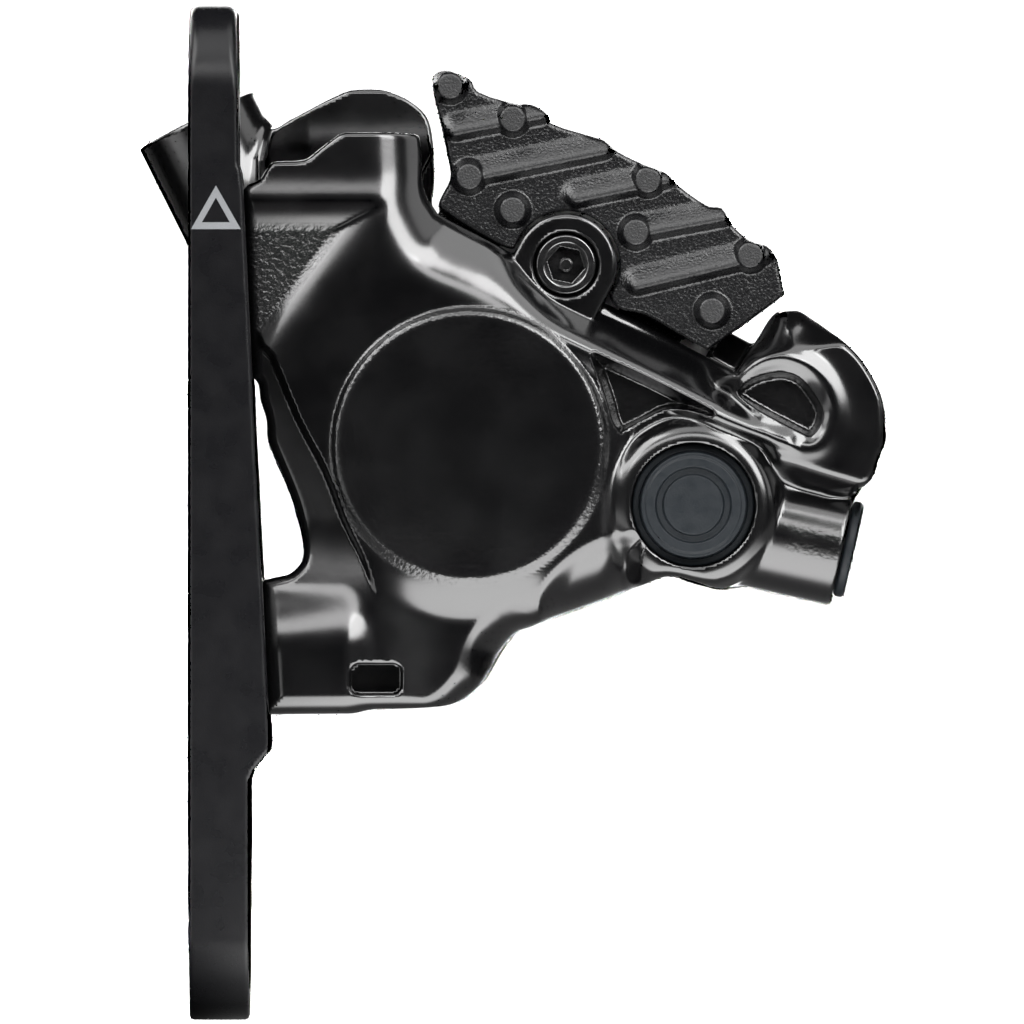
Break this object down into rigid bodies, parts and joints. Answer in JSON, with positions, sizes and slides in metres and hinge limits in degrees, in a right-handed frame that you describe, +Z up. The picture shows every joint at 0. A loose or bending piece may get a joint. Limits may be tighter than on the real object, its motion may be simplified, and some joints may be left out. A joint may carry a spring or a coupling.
{
  "type": "bicycle disc brake caliper",
  "caption": "Front flat-mount hydraulic disc brake caliper for a bicycle, with opposed pistons, finned brake pads, bleed ports and a long fork mounting plate.",
  "frame": {"origin": "centre of the mounting plate's face that lies on the back of the fork leg, midway between the two fork bolt slots", "axes": "+X points away from the fork leg, -Y points outboard, away from the wheel, and +Z points up along the leg"},
  "size_m": [0.0685, 0.0417, 0.093],
  "materials": {
    "body_black": "gloss black paint",
    "plate_black": "matte black paint",
    "fin_black": "matte black, cast grain",
    "cap_rubber": "satin",
    "rubber": "matte",
    "dark_steel": "black plated",
    "bare_steel": "satin",
    "piston_resin": "satin",
    "lining": "matte"
  },
  "bodies": {
    "caliper": {"mount_plate": "plate_black", "caliper_bolts": "dark_steel", "caliper_body_outboard": "body_black", "caliper_body_inboard": "body_black", "outboard_piston_seal": "rubber", "inboard_piston_seal": "rubber", "body_bolts": "dark_steel", "crossover_o_ring": "rubber", "pad_axle": "dark_steel", "axle_snap_ring": "bare_steel", "pad_return_spring": "bare_steel", "bleed_nipple": "bare_steel"},
    "outboard_piston": {"outboard_piston": "piston_resin"},
    "inboard_piston": {"inboard_piston": "piston_resin"},
    "outboard_pad": {"outboard_pad_backplate": "bare_steel", "outboard_pad_lining": "lining", "outboard_pad_fin": "fin_black", "outboard_fin_rivets": "bare_steel"},
    "inboard_pad": {"inboard_pad_backplate": "bare_steel", "inboard_pad_lining": "lining", "inboard_pad_fin": "fin_black", "inboard_fin_rivets": "bare_steel"},
    "bleed_screw": {"bleed_screw": "dark_steel", "bleed_screw_seal": "rubber"},
    "bleed_screw_cap": {"bleed_screw_cap": "cap_rubber"},
    "bleed_nipple_cap": {"bleed_nipple_cap": "cap_rubber"}
  },
  "joints": [
    {"name": "outboard_piston_slide", "type": "slide", "parent": "caliper", "child": "outboard_piston", "axis": [0, 1, 0], "range_m": [0, 0.0014], "stiffness_N_per_m": 1500, "deforming": ["pad_return_spring"]},
    {"name": "inboard_piston_slide", "type": "slide", "parent": "caliper", "child": "inboard_piston", "axis": [0, -1, 0], "range_m": [0, 0.0014]},
    {"name": "outboard_pad_slide", "type": "slide", "parent": "caliper", "child": "outboard_pad", "axis": [0, 1, 0], "range_m": [0, 0.0014]},
    {"name": "inboard_pad_slide", "type": "slide", "parent": "caliper", "child": "inboard_pad", "axis": [0, -1, 0], "range_m": [0, 0.0014]},
    {"name": "bleed_screw_turn", "type": "hinge", "parent": "caliper", "child": "bleed_screw", "pos_m": [0.04615, -0.0033, 0.00069], "axis": [0, -1, 0], "range_deg": [0, 180]},
    {"name": "bleed_screw_cap_pull", "type": "slide", "parent": "caliper", "child": "bleed_screw_cap", "axis": [0, -1, 0], "range_m": [0, 0.01]},
    {"name": "bleed_nipple_cap_pull", "type": "slide", "parent": "caliper", "child": "bleed_nipple_cap", "axis": [0.9763, 0, -0.2164], "range_m": [0, 0.01]}
  ],
  "couplings": [
    {"joint": "inboard_piston_slide", "follows": "outboard_piston_slide", "ratio": 1},
    {"joint": "outboard_pad_slide", "follows": "outboard_piston_slide", "ratio": 1},
    {"joint": "inboard_pad_slide", "follows": "outboard_piston_slide", "ratio": 1}
  ]
}
